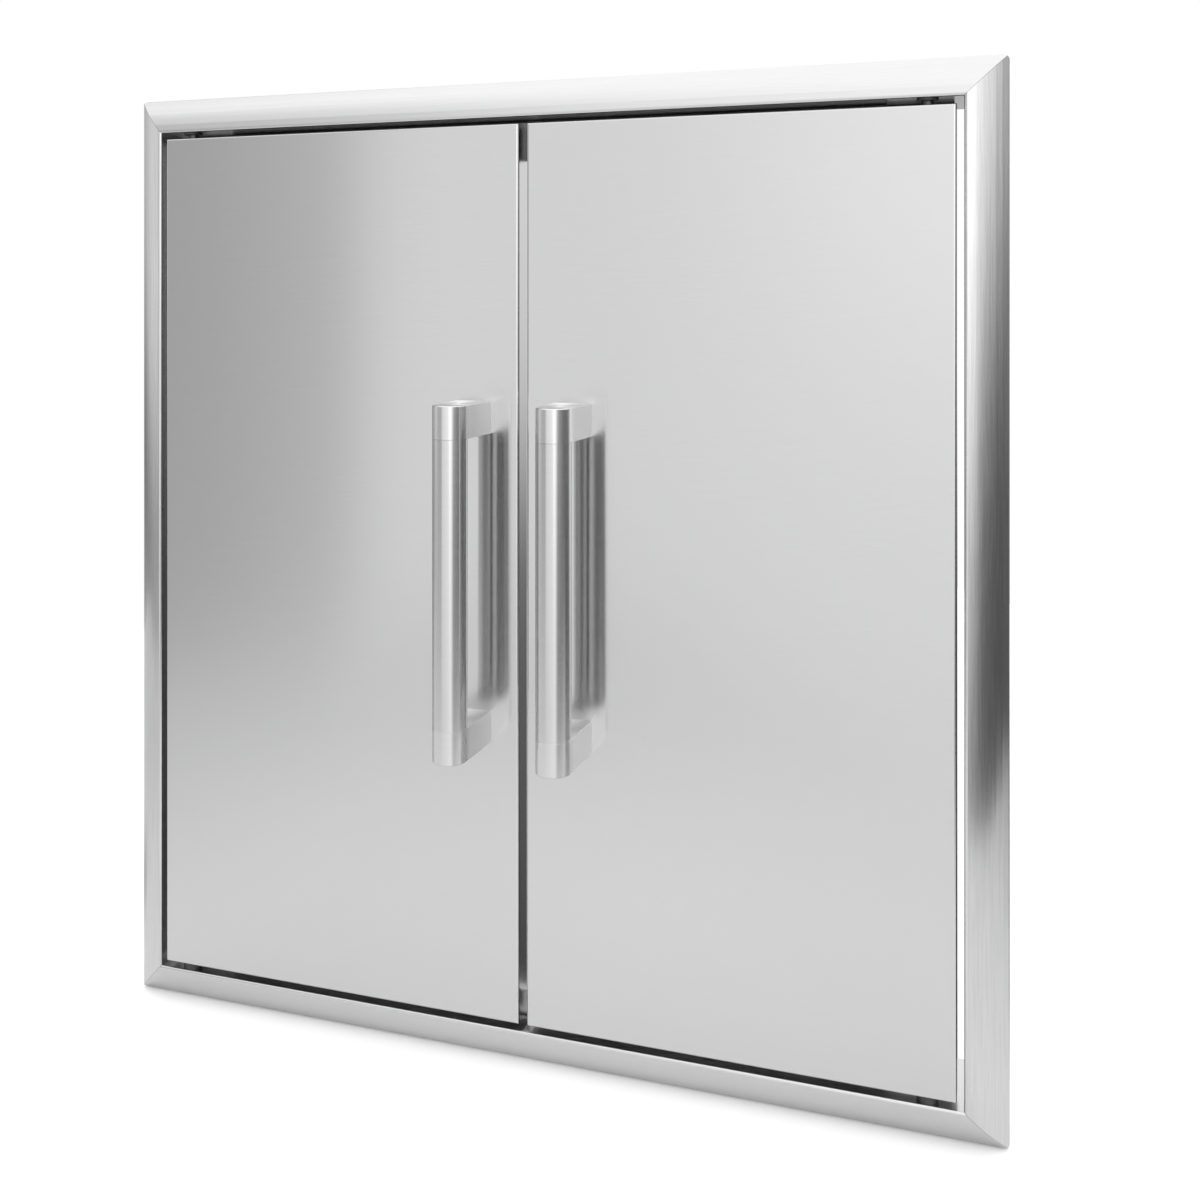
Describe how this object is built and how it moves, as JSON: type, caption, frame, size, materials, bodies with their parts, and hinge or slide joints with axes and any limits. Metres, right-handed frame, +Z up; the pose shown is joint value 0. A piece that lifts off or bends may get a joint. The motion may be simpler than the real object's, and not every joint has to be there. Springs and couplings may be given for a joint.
{
  "type": "outdoor kitchen island double access door",
  "caption": "Flush-inset stainless double access door in a convex mitred frame, with round bar handles and concealed pivots, for an outdoor kitchen island wall.",
  "frame": {"origin": "middle of the wall opening, on the wall's front plane", "axes": "+X to the right seen from the front, +Y into the wall, +Z up; the doors face -Y"},
  "size_m": [0.711, 0.1221, 0.762],
  "materials": {
    "frame_steel": "brushed along each member",
    "door_steel": "fine horizontal brushing",
    "liner_steel": "dull rolled sheet",
    "rail_steel": "dull rolled sheet",
    "handle_steel": "satin, brushed round the bar",
    "screw_steel": "plain turned",
    "bracket_steel": "zinc plated",
    "pin_steel": "turned",
    "spring_steel": "drawn wire",
    "striker_steel": "zinc plated",
    "bush_plastic": "black acetal",
    "catch_plastic": "black moulded",
    "magnet_ferrite": "dark ceramic magnet",
    "bumper_rubber": "soft moulded"
  },
  "bodies": {
    "frame": {"trim_top": "frame_steel", "trim_bottom": "frame_steel", "trim_left": "frame_steel", "trim_right": "frame_steel", "stop_rail_top": "rail_steel", "stop_rail_bottom": "rail_steel", "catch_housings": "catch_plastic", "catch_magnets": "magnet_ferrite", "catch_pole_plates": "striker_steel", "catch_screws": "screw_steel", "door_bumpers": "bumper_rubber", "pivot_bushes_upper": "bush_plastic", "pivot_bushes_lower": "bush_plastic", "thrust_washers": "bush_plastic"},
    "left_door": {"door_skin_left": "door_steel", "door_liner_left": "liner_steel", "pivot_bracket_upper_left": "bracket_steel", "pivot_bracket_lower_left": "bracket_steel", "pivot_pin_lower_left": "pin_steel", "pivot_spring_left": "spring_steel", "striker_plate_left": "striker_steel", "striker_rivets_left": "striker_steel", "handle_tube_left": "handle_steel", "handle_post_upper_left": "handle_steel", "handle_post_lower_left": "handle_steel", "handle_screws_left": "screw_steel", "handle_sleeves_left": "bracket_steel"},
    "right_door": {"door_skin_right": "door_steel", "door_liner_right": "liner_steel", "pivot_bracket_upper_right": "bracket_steel", "pivot_bracket_lower_right": "bracket_steel", "pivot_pin_lower_right": "pin_steel", "pivot_spring_right": "spring_steel", "striker_plate_right": "striker_steel", "striker_rivets_right": "striker_steel", "handle_tube_right": "handle_steel", "handle_post_upper_right": "handle_steel", "handle_post_lower_right": "handle_steel", "handle_screws_right": "screw_steel", "handle_sleeves_right": "bracket_steel"},
    "left_upper_pin": {"pivot_pin_upper_left": "pin_steel"},
    "right_upper_pin": {"pivot_pin_upper_right": "pin_steel"}
  },
  "joints": [
    {"name": "left_door_hinge", "type": "hinge", "parent": "frame", "child": "left_door", "pos_m": [-0.3005, -0.01, 0], "axis": [0, 0, -1], "range_deg": [0, 115]},
    {"name": "right_door_hinge", "type": "hinge", "parent": "frame", "child": "right_door", "pos_m": [0.3005, -0.01, 0], "axis": [0, 0, 1], "range_deg": [0, 115]},
    {"name": "left_upper_pin_slide", "type": "slide", "parent": "left_door", "child": "left_upper_pin", "axis": [0, 0, -1], "range_m": [0, 0.013], "stiffness_N_per_m": 450, "springref_m": -0.01, "deforming": ["pivot_spring_left"]},
    {"name": "right_upper_pin_slide", "type": "slide", "parent": "right_door", "child": "right_upper_pin", "axis": [0, 0, -1], "range_m": [0, 0.013], "stiffness_N_per_m": 450, "springref_m": -0.01, "deforming": ["pivot_spring_right"]}
  ]
}
